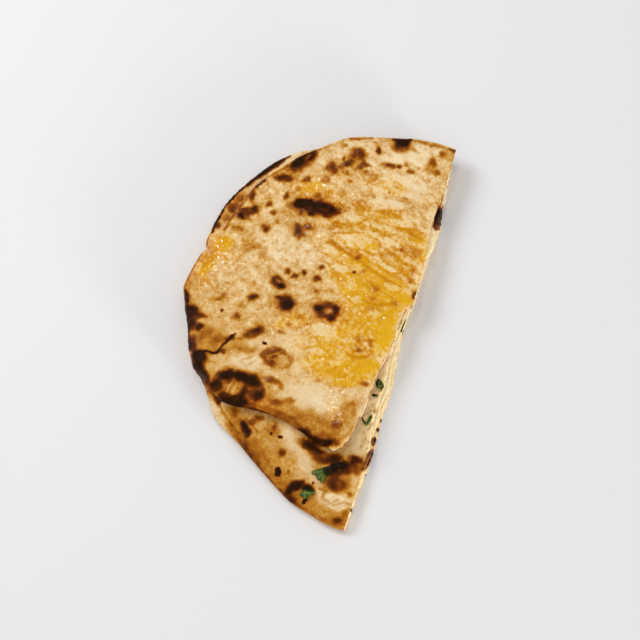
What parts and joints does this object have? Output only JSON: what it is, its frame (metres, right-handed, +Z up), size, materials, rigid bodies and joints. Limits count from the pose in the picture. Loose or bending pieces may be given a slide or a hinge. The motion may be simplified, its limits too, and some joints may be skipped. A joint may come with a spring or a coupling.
{
  "type": "folded cheese naan",
  "caption": "Cheese-filled flatbread, folded over and cut straight along its side, with charred, blistered and buttered crust and loose herb leaves, served as food.",
  "frame": {"origin": "middle of the part's box, on the surface that it rests on", "axes": "+Z up; +Y along the straight cut side towards its wide end; +X from the fold towards the cut side"},
  "size_m": [0.1464, 0.2156, 0.0166],
  "materials": {
    "baked_crust": null,
    "melted_cheese": null,
    "fresh_herb": null,
    "dark_herb": null
  },
  "bodies": {
    "root": {"bread": "baked_crust", "cheese_upper": "melted_cheese", "cheese_lower": "melted_cheese", "leaf_large": "fresh_herb", "leaf_small": "fresh_herb", "leaf_charred": "dark_herb", "leaf_cut_folded": "dark_herb", "leaf_cut_fleck": "dark_herb", "leaf_cut_curved": "fresh_herb", "leaf_cut_thin": "dark_herb"}
  },
  "joints": []
}
